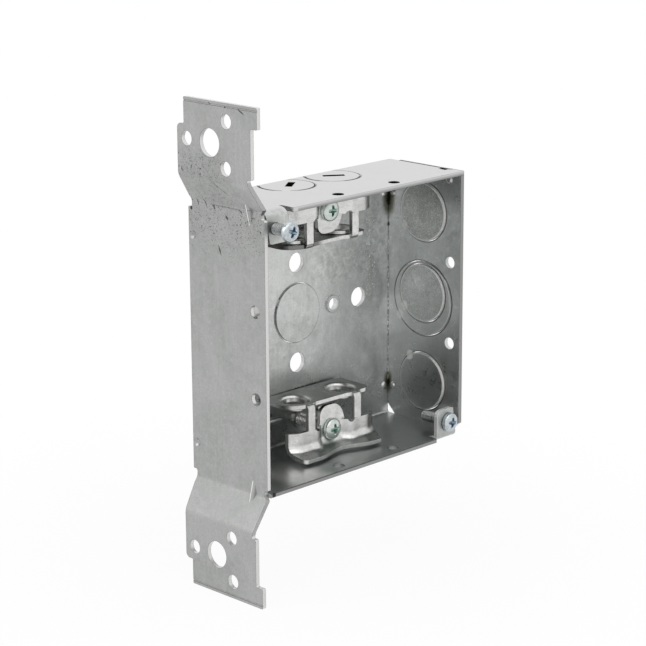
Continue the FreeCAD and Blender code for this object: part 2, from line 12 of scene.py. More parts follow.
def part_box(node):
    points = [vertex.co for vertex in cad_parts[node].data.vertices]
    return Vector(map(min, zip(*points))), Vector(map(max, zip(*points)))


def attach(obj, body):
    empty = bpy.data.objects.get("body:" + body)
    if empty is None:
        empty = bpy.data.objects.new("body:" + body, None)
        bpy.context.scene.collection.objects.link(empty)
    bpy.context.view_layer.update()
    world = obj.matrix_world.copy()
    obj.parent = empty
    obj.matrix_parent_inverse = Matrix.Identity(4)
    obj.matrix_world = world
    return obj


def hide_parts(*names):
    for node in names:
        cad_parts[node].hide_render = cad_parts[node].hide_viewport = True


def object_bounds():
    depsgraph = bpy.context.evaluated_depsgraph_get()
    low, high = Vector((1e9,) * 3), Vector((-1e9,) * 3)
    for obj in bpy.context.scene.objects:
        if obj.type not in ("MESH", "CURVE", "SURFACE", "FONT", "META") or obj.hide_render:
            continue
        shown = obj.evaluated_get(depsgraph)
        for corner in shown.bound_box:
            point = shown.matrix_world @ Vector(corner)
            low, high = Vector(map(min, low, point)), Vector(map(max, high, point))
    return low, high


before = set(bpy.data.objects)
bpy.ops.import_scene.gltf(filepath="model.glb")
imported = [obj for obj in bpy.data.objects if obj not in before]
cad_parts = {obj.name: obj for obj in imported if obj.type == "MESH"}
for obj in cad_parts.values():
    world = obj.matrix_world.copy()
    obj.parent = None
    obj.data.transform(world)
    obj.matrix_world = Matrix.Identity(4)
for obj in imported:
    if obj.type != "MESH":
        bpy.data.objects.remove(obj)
cad_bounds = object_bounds()

bl_info = {
    "name": "Square electrical box",
    "version": (1, 0, 0),
    "blender": (4, 5, 0),
    "location": "3D View > Sidebar > Electrical box",
    "description": "Galvanised finishes, threaded screws and a studio for a square electrical box",
    "category": "Object",
}

MM = 0.001
PHOTO_WIDTH = 646
FOCAL_PIXELS = 2233.37
SENSOR_WIDTH = 36
WHITE = (1.0, 1.0, 1.0, 1.0)
# Black of the painted shade in narrow gaps
GAP_SHADE_COLOUR = (0.01, 0.01, 0.01, 1.0)


def mm(*lengths):
    """Lengths in millimetres, as metres."""
    return tuple(length * MM for length in lengths)


# Stretches that take one axis out of a vector, a level direction, and a radius past the part
WITHOUT_X = (0.0, 1.0, 1.0)
WITHOUT_Z = (1.0, 1.0, 0.0)
FRONT_LEFT = (-0.707, -0.707, 0.0)
ENDLESS = 10.0

# Faces of the box
SHEET = 1.6 * MM
shell_low, shell_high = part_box("box_shell")
FRONT = shell_low.y
BRACKET_X = shell_low.x
RIGHT_X = shell_high.x
WALL_X = RIGHT_X - SHEET
BACK_Y = shell_high.y - SHEET
TOP_Z = shell_high.z
BOTTOM_Z = -TOP_Z

# Knockouts of the right wall: height, bearing of the scuffed tie in degrees, share of stain
KNOCKOUT_Y = FRONT + 18.5 * MM
KNOCKOUT_RADIUS = 11.1 * MM
KNOCKOUTS = ((33.0 * MM, 215.0, 0.78), (1.7 * MM, 215.0, 0.40), (-33.0 * MM, 125.0, 0.06))
# The wider disc round the middle one: height, radius, bearing of its tie
OUTER_DISC = (-0.5 * MM, 14.2 * MM, 215.0)
PRYOUT_X = mm(-12.1, 11.1)
PRYOUT_Y = -9.3 * MM
PRYOUT_RADIUS = 9.9 * MM

# Scorches in the corner of the right wall: height and radii
SCORCHES = ((35.5 * MM, mm(4.4, 4.4, 9.0)), (25.5 * MM, mm(1.0, 1.0, 1.4)),
            (-37.0 * MM, mm(3.2, 3.2, 6.0)))
# Weld metal: both ends of the run up the corner, and where the spatter beside it fell, in mm
BEAD_SEED = 7
RUN_LOW, RUN_HIGH = mm(-35.5, 22.5)
SPATTER_COUNT = 110
SPATTER_COLUMNS = (37.2, 38.4, 38.4, 41.0)
SPATTER_HEIGHTS = (-1.0, 31.0)

# Dark scratches on the bracket: centre along Y and Z in mm, lean, half length and half width in mm
SCRATCHES = (
    ((-35.6, 86.0), 1.7, 1.1, 0.55),
    ((-27.8, 86.7), 0.5, 0.5, 0.35),
    ((-20.2, 87.2), 0.5, 0.5, 0.3),
    ((-19.6, 46.6), 0.55, 1.0, 0.55),
    ((-15.8, 34.6), 0.35, 2.2, 0.35),
    ((-26.6, 49.7), 0.9, 1.2, 0.3),
    ((-30.3, 46.6), 0.5, 0.6, 0.35),
    ((-9.0, 50.7), 0.3, 2.2, 0.25),
    ((-5.1, 50.4), 0.2, 1.8, 0.25),
    ((-13.3, 49.5), 0.0, 1.2, 0.3),
    ((-20.6, 59.3), 1.0, 1.5, 0.2),
    ((-23.6, 56.6), 1.1, 1.4, 0.2),
    ((-14.9, 62.2), -0.3, 0.9, 0.2),
    ((-10.7, 64.5), 0.1, 1.0, 0.2),
    ((-5.8, 63.0), 0.1, 1.1, 0.2),
    ((-36.2, 44.0), 0.4, 0.6, 0.3),
)

# Screws, each with the turn of its cross recess in degrees
CLAMP_SHANK_RADIUS = 2.35 * MM
CLAMP_SCREWS = (("lower_clamp_screw", 2), ("upper_clamp_screw", 4))
COVER_SHANK_RADIUS = 2.08 * MM
COVER_SCREWS = (("lower_cover_screw", 12), ("upper_cover_screw", 22))
PLATE, RECESS, THREAD = range(3)

# How finely a screw is made
HEAD_RINGS = 32
RINGS_PER_PITCH = 8
SMOOTH_ANGLE = math.radians(38)
# A head's crown and rounded corner in shares of its height and radius, and its lower bevel
CROWN_DROP = 0.28
CORNER_DROP = 0.28
CORNER_START = 0.72
RIM_BEVEL = 0.12 * MM
# A recess wing: half width at its end and what it gains inwards, in shares of its width
WING_END = 0.34
WING_GAIN = 0.22
WING_WALL = 0.16 * MM
WING_FLOOR_SLOPE = 2.2
# Faces this deep in the recess, and this far above the head's seat, take its colour
RECESS_DEEP = 0.2 * MM
RECESS_ABOVE = 0.3 * MM
# The thread's flanks and crest in shares of its pitch, and how far the tip's taper cuts in
FLANK_SLOPE = 3.2
CREST_FLAT = 0.25
TIP_CUT = 0.8


class Value:
    """A socket of a material's nodes. Sums with values add the Math nodes they need."""

    def __init__(self, tree, socket=None):
        self.tree = tree
        self.socket = socket

    def node(self, kind, settings, sockets, output=0):
        """Add a node of any type, its settings first and then its sockets. Give one output."""
        made = self.tree.nodes.new(kind)
        for name, setting in settings.items():
            setattr(made, name, setting)
        for key, entry in sockets.items():
            if isinstance(entry, Value):
                self.tree.links.new(entry.socket, made.inputs[key])
            else:
                made.inputs[key].default_value = entry
        return Value(self.tree, made.outputs[output]) if made.outputs else None

    def maths(self, operation, first, second=0.0, clamp=False):
        settings = {"operation": operation, "use_clamp": clamp}
        return self.node("ShaderNodeMath", settings, {0: first, 1: second})

    def __add__(self, other):
        return self.maths("ADD", self, other)

    def __radd__(self, other):
        return self.maths("ADD", other, self)

    def __sub__(self, other):
        return self.maths("SUBTRACT", self, other)

    def __rsub__(self, other):
        return self.maths("SUBTRACT", other, self)

    def __mul__(self, other):
        return self.maths("MULTIPLY", self, other)

    def __rmul__(self, other):
        return self.maths("MULTIPLY", other, self)

    def __truediv__(self, other):
        return self.maths("DIVIDE", self, other)

    def __rtruediv__(self, other):
        return self.maths("DIVIDE", other, self)

    def __neg__(self):
        return self.maths("MULTIPLY", self, -1.0)

    def __abs__(self):
        return self.maths("ABSOLUTE", self)


def new_material(name):
    """A material with no nodes yet, and the value that its nodes start from."""
    material = bpy.data.materials.new(name)
    material.use_nodes = True
    material.node_tree.nodes.clear()
    return material, Value(material.node_tree)


def position(start):
    """Place on the part, in metres from the centre of the back wall."""
    return start.node("ShaderNodeTexCoord", {}, {}, "Object")


def axis_of(vector, axis):
    return vector.node("ShaderNodeSeparateXYZ", {}, {0: vector}, "XYZ".index(axis))


def axes_of(vector, axes):
    """Several parts of a vector."""
    return [axis_of(vector, axis) for axis in axes]


def face_normal(start):
    """The flat direction of each face."""
    return start.node("ShaderNodeNewGeometry", {}, {}, "True Normal")


def rise(value, low, high):
    """0 below low, 1 above high, and smooth between them."""
    settings = {"interpolation_type": "SMOOTHSTEP"}
    return value.node("ShaderNodeMapRange", settings, {0: value, 1: low, 2: high})


def fall(value, low, high):
    """1 below low, 0 above high, and smooth between them."""
    return 1 - rise(value, low, high)


def band(value, centre, inner, outer):
    """1 within an inner distance of a value, 0 beyond an outer one."""
    return fall(abs(value - centre), inner, outer)


def stretched(vector, scale):
    settings = {"operation": "MULTIPLY"}
    return vector.node("ShaderNodeVectorMath", settings, {0: vector, 1: scale})


def apart_from(vector, centre):
    return vector.node("ShaderNodeVectorMath", {"operation": "SUBTRACT"}, {0: vector, 1: centre})


def length_of(vector):
    """Length of a vector, as a number."""
    return vector.node("ShaderNodeVectorMath", {"operation": "LENGTH"}, {0: vector}, "Value")


def along_direction(vector, direction):
    settings = {"operation": "DOT_PRODUCT"}
    return vector.node("ShaderNodeVectorMath", settings, {0: vector, 1: direction}, "Value")


def cloud(vector, size, detail=4.0, rough=0.55, warp=0.0):
    """Soft noise whose patches are about this size, in metres."""
    sockets = {"Vector": vector, "Scale": 1 / size, "Detail": detail, "Roughness": rough,
               "Distortion": warp}
    return vector.node("ShaderNodeTexNoise", {}, sockets)


def blend(mask, first, second):
    """First where the mask is 0, second where it is 1."""
    settings = {"data_type": "RGBA", "clamp_factor": True}
    factor, first_colour, second_colour, mixed_colour = 0, 6, 7, 2
    sockets = {factor: mask, first_colour: first, second_colour: second}
    return mask.node("ShaderNodeMix", settings, sockets, mixed_colour)


def spot(vector, centre, radii):
    """1 at a centre, falling to 0 on the ellipsoid of these radii round it."""
    length = length_of(stretched(apart_from(vector, centre), [1 / radius for radius in radii]))
    return length.maths("SUBTRACT", 1.0, length, clamp=True)


def seen_plainly(start):
    """1 for what the camera, a reflection or a view through something meets, 0 for other light."""
    rays = ("Is Camera Ray", "Is Glossy Ray", "Is Transmission Ray")
    seen, mirrored, through = (start.node("ShaderNodeLightPath", {}, {}, ray) for ray in rays)
    return seen.maths("ADD", seen + mirrored, through, clamp=True)


def shade(colour, share):
    """A colour at a share of its brightness."""
    return [part * share for part in colour]


def opaque(colour):
    """A colour with its alpha."""
    return (*colour, 1.0)


class Coat:
    """The colour, roughness, metal and relief of a finish, while its layers are laid on.

    Its edges are 1 along the edges of the metal, where a share of painted shade draws a dark line,
    and its gap is 1 where the shade of a narrow gap is painted on as a black surface.
    """

    def __init__(self, start, colour, rough, metallic):
        self.start = start
        self.place = position(start)
        self.colour = opaque(colour)
        self.rough = rough
        self.metallic = metallic
        self.relief = 0.0
        self.edges = 0.0
        self.edge_shade_share = 0.0
        self.gap = None

    def lay(self, mask, colour, rough=None, metallic=None):
        """Cover with a colour, a roughness and a share of bare metal where the mask is 1."""
        self.colour = blend(mask, self.colour, opaque(colour))
        if rough is not None:
            self.rough = self.rough + (rough - self.rough) * mask
        if metallic is not None:
            self.metallic = self.metallic + (metallic - self.metallic) * mask

    def darken(self, mask):
        """Painted shade: a black surface that swallows all light where the mask is 1, as a narrow
        gap does.
        """
        self.gap = mask if self.gap is None else mask.maths("MAXIMUM", self.gap, mask)

    def connect(self, normal, strength, distance=0.1 * MM):
        """Wire the metal surface to the material's output."""
        relief = self.start.node("ShaderNodeBump", {}, {"Strength": strength, "Distance": distance,
                                                        "Height": self.relief, "Normal": normal})
        shader = self.start.node("ShaderNodeBsdfPrincipled", {},
                                 {"Base Color": self.colour, "Roughness": self.rough,
                                  "Metallic": self.metallic, "Normal": relief})
        # Painted shade: where the gap mask is 1, a black surface takes the place of the metal
        if self.gap is not None:
            sockets = {"Base Color": GAP_SHADE_COLOUR, "Roughness": 1.0, "Specular IOR Level": 0.0}
            dark = self.start.node("ShaderNodeBsdfPrincipled", {}, sockets)
            shader = self.start.node("ShaderNodeMixShader", {}, {0: self.gap, 1: shader, 2: dark})
        self.start.node("ShaderNodeOutputMaterial", {}, {"Surface": shader})


def rounded_normal(start, radius):
    """The surface's direction, turned over its edges as if they were rounded."""
    return start.node("ShaderNodeBevel", {"samples": 8}, {"Radius": radius})


def edge_line(start, rounded):
    """1 along the edges of the metal, where the rounded direction leaves the flat one."""
    return rise(1 - along_direction(rounded, face_normal(start)), 0.02, 0.16)


def specks(flat, size, chance):
    """Small round dots on a flat face, in this share of the cells of a scattered grid."""
    settings = {"voronoi_dimensions": "2D"}
    sockets = {"Vector": flat, "Scale": 1 / size, "Randomness": 1.0}
    apart = flat.node("ShaderNodeTexVoronoi", settings, sockets, "Distance")
    luck = axis_of(flat.node("ShaderNodeTexVoronoi", settings, sockets, "Color"), "X")
    radius = 0.42 * luck.maths("MINIMUM", (luck - (1 - chance)) * 9, 1.0)
    return rise(radius - apart, 0.0, 0.12)


def dash(place, centre, slope, length, width):
    """A short scratch on a face across X, leaning from upright by a slope along Y."""
    apart = apart_from(place, (0.0, *mm(*centre)))
    across, along = axes_of(apart, "YZ")
    off = abs(across - slope * along)
    return rise(1 - off / (1.5 * width * MM) - abs(along) / (1.1 * length * MM), 0.0, 0.3)


def turned_from(start, axis):
    """1 on faces that turn away from an axis, such as the cut faces of a sheet across it."""
    return fall(abs(axis_of(face_normal(start), axis)), 0.25, 0.6)


def facing(start, axis):
    """1 on faces that look along an axis, either way."""
    return rise(abs(axis_of(face_normal(start), axis)), 0.7, 0.95)


def galvanised(name, finish, tone, streaks, marks, edge_shade_share=0.6):
    """Zinc-coated sheet: soft clouds, fine mottling and rolling streaks along one direction."""
    material, start = new_material(name)
    coat = Coat(start, tone, finish.roughness, finish.metallic)
    place = coat.place
    broad = rise(cloud(place, 24 * MM, 4, 0.6, 0.8), 0.36, 0.66)
    fine = rise(cloud(place, 3.0 * MM, 5, 0.65, 0.4), 0.34, 0.68)
    grain = cloud(place, 0.5 * MM, 3, 0.6)
    rolled = cloud(stretched(place, streaks), 1.2 * MM, 3, 0.5)
    spangle = cloud(place, 1.3 * MM, 5, 0.7, 1.2)
    stain = broad * (0.45 + 0.55 * fine) * finish.cloudiness
    coat.lay(stain, finish.stain_and_shade_colour)
    coat.lay(rise(rolled, 0.48, 0.75) * 0.20, shade(tone, 1.25))
    coat.lay(rise(spangle, 0.50, 0.62) * 0.30, shade(tone, 1.22))
    coat.lay(rise(1 - spangle, 0.52, 0.64) * 0.30, shade(tone, 0.76))
    coat.lay(rise(grain, 0.5, 0.8) * 0.30, shade(tone, 0.6))
    coat.rough = coat.rough + 0.12 * stain + 0.08 * (fine - 0.5)
    coat.relief = grain * 0.5 + rolled * 0.3 + fine * 0.3
    rounded = rounded_normal(start, finish.edge_radius)
    coat.edges = edge_line(start, rounded)
    coat.edge_shade_share = edge_shade_share
    marks(coat)
    # Painted shade: a dark line along the rounded edges of the sheet
    coat.lay(coat.edges * coat.edge_shade_share, finish.shade_line_colour)
    coat.connect(rounded, 0.3)
    return material


def zinc_plate(name, colour, tint, roughness, tinted, metallic=1.0):
    """Bright zinc plating, with a faint coloured passivation over this share of it."""
    material, start = new_material(name)
    coat = Coat(start, colour, roughness, metallic)
    patch = rise(cloud(coat.place, 1.4 * MM, 4, 0.6, 0.8), 0.38, 0.66)
    grain = cloud(coat.place, 0.3 * MM, 3, 0.6)
    coat.lay(patch * (1 - tinted) * 0.40 + tinted, tint)
    coat.lay(rise(grain, 0.5, 0.8) * 0.25, shade(colour, 0.5))
    coat.rough = coat.rough + 0.12 * patch
    coat.relief = grain
    rounded = rounded_normal(start, 0.12 * MM)
    # Painted shade: a dark line along the rounded edges of the screw
    coat.lay(edge_line(start, rounded) * 0.7, shade(colour, 0.22))
    coat.connect(rounded, 0.3, 0.05 * MM)
    return material


def dress(node, material):
    """Give a node of the model its finish."""
    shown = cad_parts[node]
    if not shown.material_slots:
        shown.data.materials.append(material)
    for slot in shown.material_slots:
        slot.material = material


def add_object(name, data):
    """Put a mesh, a lamp or a camera into the scene."""
    made = bpy.data.objects.new(name, data)
    bpy.context.scene.collection.objects.link(made)
    return made


def smooth_mesh(name, mesh):
    """Turn a mesh that was being made into a smooth one of the scene."""
    data = bpy.data.meshes.new(name)
    mesh.to_mesh(data)
    mesh.free()
    data.shade_smooth()
    return data


def ring(mesh, radii, along):
    """One ring of vertices round the Y axis, each at its own radius."""
    made = []
    for index, radius in enumerate(radii):
        angle = 2 * math.pi * index / len(radii)
        made.append(mesh.verts.new((radius * math.cos(angle), along, radius * math.sin(angle))))
    return made


def neighbours(made):
    """Each vertex of a ring with the next one round it."""
    return zip(made, made[1:] + made[:1])


def bridge(mesh, first, second):
    """Faces between two rings."""
    for (low, low_next), (high, high_next) in zip(neighbours(first), neighbours(second)):
        mesh.faces.new((low, high, high_next, low_next))


def recess_depth(x, z, sizes):
    """Depth of the cross recess at a point of the head's face."""
    deepest = 0.0
    for along, across in ((x, z), (z, x)):
        taper = max(0.0, 1 - abs(along) / sizes.recess_reach)
        half = sizes.recess_width * (WING_END + WING_GAIN * taper)
        wall = min(max((half - abs(across)) / WING_WALL + 0.5, 0.0), 1.0)
        floor = sizes.recess_depth * min(1.0, taper * WING_FLOOR_SLOPE)
        deepest = max(deepest, wall * floor)
    return deepest


def head_drop(share, height):
    """How far the crowned head falls away from its top, at a share of its radius."""
    crown = CROWN_DROP * share ** 2
    bend = max(0.0, (share - CORNER_START) / (1 - CORNER_START))
    corner = CORNER_DROP * (1 - math.sqrt(max(0.0, 1 - bend ** 2)))
    return height * (crown + corner)


def head_rings(mesh, radius, sizes):
    """Rings from the middle of the crowned head over its rim to its seat."""
    count = sizes.segments
    rings = []
    for step in range(1, HEAD_RINGS + 1):
        share = step / HEAD_RINGS
        level = head_drop(share, sizes.head_height) - sizes.head_height
        made = ring(mesh, [radius * share] * count, level)
        for vertex in made:
            vertex.co.y += recess_depth(vertex.co.x, vertex.co.z, sizes)
        rings.append(made)
    rings.append(ring(mesh, [radius] * count, -RIM_BEVEL))
    rings.append(ring(mesh, [radius - RIM_BEVEL] * count, 0.0))
    return rings


def thread_radius(turn, along, crest, sizes):
    """Radius of the thread's surface at a share of a turn and a place along the shank."""
    phase = (along / sizes.pitch + turn) % 1.0
    flank = min(1.0, max(0.0, abs(phase - 0.5) * FLANK_SLOPE - CREST_FLAT))
    return crest - sizes.thread_depth * flank


def shank_rings(mesh, radius, length, sizes):
    """Rings down the rolled thread to its tapered tip."""
    count = sizes.segments
    rings = [ring(mesh, [radius] * count, 0.0)]
    steps = math.ceil(length / sizes.pitch * RINGS_PER_PITCH)
    for step in range(1, steps + 1):
        along = length * step / steps
        taper = max(0.0, (along - length + sizes.tip_taper) / sizes.tip_taper)
        crest = radius - sizes.tip_taper * TIP_CUT * taper
        radii = [thread_radius(index / count, along, crest, sizes) for index in range(count)]
        rings.append(ring(mesh, radii, along))
    return rings


def colour_faces(mesh, sizes):
    """Tell the thread, the recess and the rest of the head apart."""
    for face in mesh.faces:
        level = face.calc_center_median().y
        deepest = max(recess_depth(vertex.co.x, vertex.co.z, sizes) for vertex in face.verts)
        if level > 0:
            face.material_index = THREAD
        elif deepest > RECESS_DEEP and level < -RECESS_ABOVE:
            face.material_index = RECESS
        else:
            face.material_index = PLATE


def build_screw(name, low, high, shank_radius, sizes, turn):
    """A crowned head with a cross recess, on a rolled thread, filling the plain screw's box."""
    head_radius = (high.x - low.x) / 2
    length = high.y - low.y - sizes.head_height
    mesh = bmesh.new()
    rings = head_rings(mesh, head_radius, sizes)
    rings += shank_rings(mesh, shank_radius, length, sizes)
    for first, second in zip(rings, rings[1:]):
        bridge(mesh, first, second)
    top = mesh.verts.new((0, recess_depth(0, 0, sizes) - sizes.head_height, 0))
    tip = mesh.verts.new((0, length, 0))
    for (inner, inner_next), (last, last_next) in zip(neighbours(rings[0]), neighbours(rings[-1])):
        mesh.faces.new((top, inner, inner_next))
        mesh.faces.new((tip, last_next, last))
    bmesh.ops.recalc_face_normals(mesh, faces=mesh.faces)
    colour_faces(mesh, sizes)
    centre = Vector(((low.x + high.x) / 2, low.y + sizes.head_height, (low.z + high.z) / 2))
    mesh.transform(Matrix.Translation(centre) @ Matrix.Rotation(turn, 4, "Y"))
    data = smooth_mesh(name, mesh)
    data.set_sharp_from_angle(angle=SMOOTH_ANGLE)
    return add_object(name, data)


def look_from(azimuth, elevation):
    """The direction to a viewer: azimuth 0 sees the front, a quarter turn the right side."""
    level = math.cos(elevation)
    return Vector((math.sin(azimuth) * level, -math.cos(azimuth) * level, math.sin(elevation)))


def place_camera(stage):
    """Stand the camera where the photograph was taken, looking along the same line."""
    back = look_from(stage.azimuth, stage.elevation)
    right = (-back).cross(Vector((0, 0, 1))).normalized()
    up = right.cross(-back)
    turn = stage.roll
    level = right * math.cos(turn) + up * math.sin(turn)
    upright = up * math.cos(turn) - right * math.sin(turn)
    front_centre = Vector((0, FRONT, 0))
    place = front_centre + level * stage.aside + upright * stage.above + back * stage.distance
    data = bpy.data.cameras.new("camera")
    data.sensor_width = SENSOR_WIDTH
    data.lens = stage.lens
    data.clip_start = 0.01
    data.clip_end = 20
    camera = add_object("camera", data)
    axes = Matrix((level, upright, back)).transposed()
    camera.matrix_world = Matrix.Translation(place) @ axes.to_4x4()
    bpy.context.scene.camera = camera


def add_area_light(name, direction, distance, size, power):
    """A soft square lamp in one direction from the part, turned to face it."""
    data = bpy.data.lights.new(name, "AREA")
    data.shape = "SQUARE"
    data.size = size
    data.energy = power
    lamp = add_object(name, data)
    lamp.location = direction.normalized() * distance
    lamp.rotation_euler = direction.to_track_quat("Z", "Y").to_euler()
    lamp.visible_camera = False


def light_world(stage):
    """White where it is seen, also in the metal, and a plain level of light on everything."""
    world = bpy.data.worlds.new("studio")
    bpy.context.scene.world = world
    world.use_nodes = True
    world.node_tree.nodes.clear()
    start = Value(world.node_tree)
    level = stage.world_level + (1 - stage.world_level) * seen_plainly(start)
    sky = start.node("ShaderNodeBackground", {}, {"Color": WHITE, "Strength": level})
    start.node("ShaderNodeOutputWorld", {}, {"Surface": sky})


def floor_material(stage):
    """Pale paper that turns pure white where it is clear of the part's shadow."""
    material, start = new_material("floor_paper")
    place = position(start)
    tone = blend(cloud(place, 0.08) * 0.2, opaque(stage.floor_colour),
                 opaque(shade(stage.floor_colour, 0.98)))
    paper = start.node("ShaderNodeBsdfDiffuse", {}, {"Color": tone})
    glow = start.node("ShaderNodeEmission", {}, {"Color": WHITE, "Strength": 1.0})
    clear = rise(length_of(stretched(place, WITHOUT_Z)), 0.05, 0.20)
    share = stage.floor_glow + (1 - stage.floor_glow) * clear
    sockets = {0: seen_plainly(start) * share, 1: paper, 2: glow}
    surface = start.node("ShaderNodeMixShader", {}, sockets)
    start.node("ShaderNodeOutputMaterial", {}, {"Surface": surface})
    return material


def add_floor(stage):
    """A large floor just under the part."""
    half = stage.floor_size / 2
    low = cad_bounds[0].z - 0.05 * MM
    data = bpy.data.meshes.new("floor")
    corners = [(-half, -half, low), (half, -half, low), (half, half, low), (-half, half, low)]
    data.from_pydata(corners, [], [(0, 1, 2, 3)])
    floor = add_object("floor", data)
    data.materials.append(floor_material(stage))


def colour_property(name, description, default):
    return FloatVectorProperty(name=name, description=description, subtype="COLOR", size=3,
                               min=0.0, max=1.0, default=default)


def length_property(name, description, default):
    return FloatProperty(name=name, description=description, subtype="DISTANCE", unit="LENGTH",
                         min=0.0, default=default, precision=5)


class SheetFinish(bpy.types.PropertyGroup):
    """Colours and grain of the galvanised sheet."""

    wall_colour: colour_property("Wall colour", "Zinc coat of the box's walls", (0.60, 0.61, 0.60))
    # Painted light: lighter zinc on the outside of the top, its front edge and a lug beside the
    # upper tab
    top_lit_colour: colour_property("Top colour", "Cleaner zinc outside the top", (0.64, 0.645, 0.64))
    bracket_colour: colour_property("Bracket colour", "Zinc coat of the bracket",
                                    (0.42, 0.425, 0.42))
    clamp_colour: colour_property("Clamp colour", "Zinc coat of the cable clamps",
                                  (0.72, 0.72, 0.71))
    # Also painted shade on the upper tab, high on the bracket and on the clamps' level faces
    stain_and_shade_colour: colour_property("Stain colour", "Dull patches of the coat", (0.30, 0.315, 0.30))
    # Painted shade inside the bottom and low on the back wall
    bottom_shade_colour: colour_property("Bottom colour", "Dull zinc inside the bottom",
                                   (0.27, 0.285, 0.28))
    edge_colour: colour_property("Edge colour", "Bare metal of the bracket's cut edges",
                                 (0.76, 0.76, 0.75))
    rim_colour: colour_property("Rim colour", "Dull cut edges of the box's walls",
                                (0.30, 0.305, 0.30))
    # Painted shade on the cut faces in the top's slots and holes
    bore_shade_colour: colour_property("Bore colour", "Dark cut faces in the slots and holes",
                                 (0.012, 0.012, 0.012))
    # Painted shade along the sheet's edges, in gaps and corners, and round the discs
    shade_line_colour: colour_property("Line colour", "Dark line that outlines an edge",
                                 (0.07, 0.07, 0.068))
    # Also painted highlights on the discs' steps and the darts, and a painted reflection in the
    # bottom
    worn_and_highlight_colour: colour_property("Worn colour", "Bright scuffs and sheared steps of the knockouts",
                                 (0.92, 0.92, 0.90))
    # Also painted shade in a crevice at the front of the bottom's left corner
    burn_and_shade_colour: colour_property("Burn colour", "Scorch left by a weld", (0.018, 0.018, 0.012))
    halo_colour: colour_property("Halo colour", "Rusty ring round a scorch", (0.15, 0.145, 0.085))
    # Also painted shade in the crease of the bracket's upper fold
    speck_and_shade_colour: colour_property("Speck colour", "Dark specks in the coat", (0.05, 0.05, 0.045))
    edge_radius: length_property("Edge radius", "Rounding seen on the sheet's edges", 0.28 * MM)
    cloudiness: FloatProperty(name="Cloudiness", description="How strongly the stains show",
                              subtype="FACTOR", min=0.0, max=1.0, default=0.55)
    roughness: FloatProperty(name="Roughness", description="Dullness of the zinc coat",
                             subtype="FACTOR", min=0.0, max=1.0, default=0.30)
    metallic: FloatProperty(name="Metallic", description="How metallic the zinc coat looks",
                            subtype="FACTOR", min=0.0, max=1.0, default=1.0)


class ScrewSizes(bpy.types.PropertyGroup):
    """Sizes and colours of the clamp screws and the cover screws."""

    head_height: length_property("Head height", "Height of a screw's head", 2.4 * MM)
    pitch: length_property("Thread pitch", "From one turn of the thread to the next", 0.79 * MM)
    thread_depth: length_property("Thread depth", "Depth of the thread's groove", 0.42 * MM)
    tip_taper: length_property("Tip taper", "Length of the tapered tip", 0.8 * MM)
    recess_reach: length_property("Recess reach", "Length of a wing of the cross recess", 2.05 * MM)
    recess_width: length_property("Recess width", "Width of a wing of the cross recess", 1.15 * MM)
    recess_depth: length_property("Recess depth", "Depth of the cross recess", 1.4 * MM)
    segments: IntProperty(name="Segments", description="Facets round a screw",
                          min=24, max=200, default=120)
    clamp_colour: colour_property("Clamp screw colour", "Zinc plate of the clamp screws",
                                  (0.66, 0.68, 0.66))
    clamp_tint: colour_property("Clamp screw tint", "Green cast of their plate", (0.27, 0.47, 0.39))
    cover_colour: colour_property("Cover screw colour", "Zinc plate of the cover screws",
                                  (0.60, 0.63, 0.64))
    cover_tint: colour_property("Cover screw tint", "Blue cast of their plate", (0.16, 0.27, 0.36))
    thread_colour: colour_property("Cover thread colour", "Dull threads of the cover screws",
                                   (0.34, 0.35, 0.35))
    # Painted light: threads of the clamp screws far brighter than their plate
    lit_thread_colour: colour_property("Clamp thread colour",
                                          "Bright threads of the clamp screws",
                                          (0.92, 0.92, 0.90))


class StageSettings(bpy.types.PropertyGroup):
    """The camera, the lamps and the floor."""

    azimuth: FloatProperty(name="Azimuth", description="Bearing of the camera round the part",
                           subtype="ANGLE", default=math.radians(-45.143))
    elevation: FloatProperty(name="Elevation", description="Height angle of the camera",
                             subtype="ANGLE", default=math.radians(15.137))
    roll: FloatProperty(name="Roll", description="Turn of the camera about its own line of sight",
                        subtype="ANGLE", default=math.radians(-0.293))
    distance: length_property("Distance", "From the camera to the front opening", 0.797997)
    aside: FloatProperty(name="Aside", description="Shift of the camera to its right",
                         subtype="DISTANCE", default=-0.01626)
    above: FloatProperty(name="Above", description="Shift of the camera upwards",
                         subtype="DISTANCE", default=0.002782)
    lens: FloatProperty(name="Lens", description="Focal length", subtype="DISTANCE_CAMERA",
                        default=FOCAL_PIXELS / PHOTO_WIDTH * SENSOR_WIDTH)
    key_power: FloatProperty(name="Key power", description="Power of the lamp above the part",
                             subtype="POWER", default=5.0)
    fill_power: FloatProperty(name="Fill power",
                              description="Power of the lamp on the bracket's side",
                              subtype="POWER", default=2.5)
    world_level: FloatProperty(name="World level", description="Plain light from all round",
                               subtype="FACTOR", min=0.0, max=1.0, default=0.6)
    floor_size: length_property("Floor size", "Side of the square floor", 6.0)
    floor_colour: colour_property("Floor colour", "Colour of the floor", (0.93, 0.93, 0.93))
    floor_glow: FloatProperty(name="Floor glow",
                              description="Share of plain white where the floor is seen",
                              subtype="FACTOR", min=0.0, max=1.0, default=0.93)


def front_edge(coat):
    """1 on the cut edges of the walls that look out of the front."""
    near = fall(axis_of(coat.place, "Y"), FRONT + 0.2 * MM, FRONT + 0.5 * MM)
    return near * facing(coat.start, "Y")


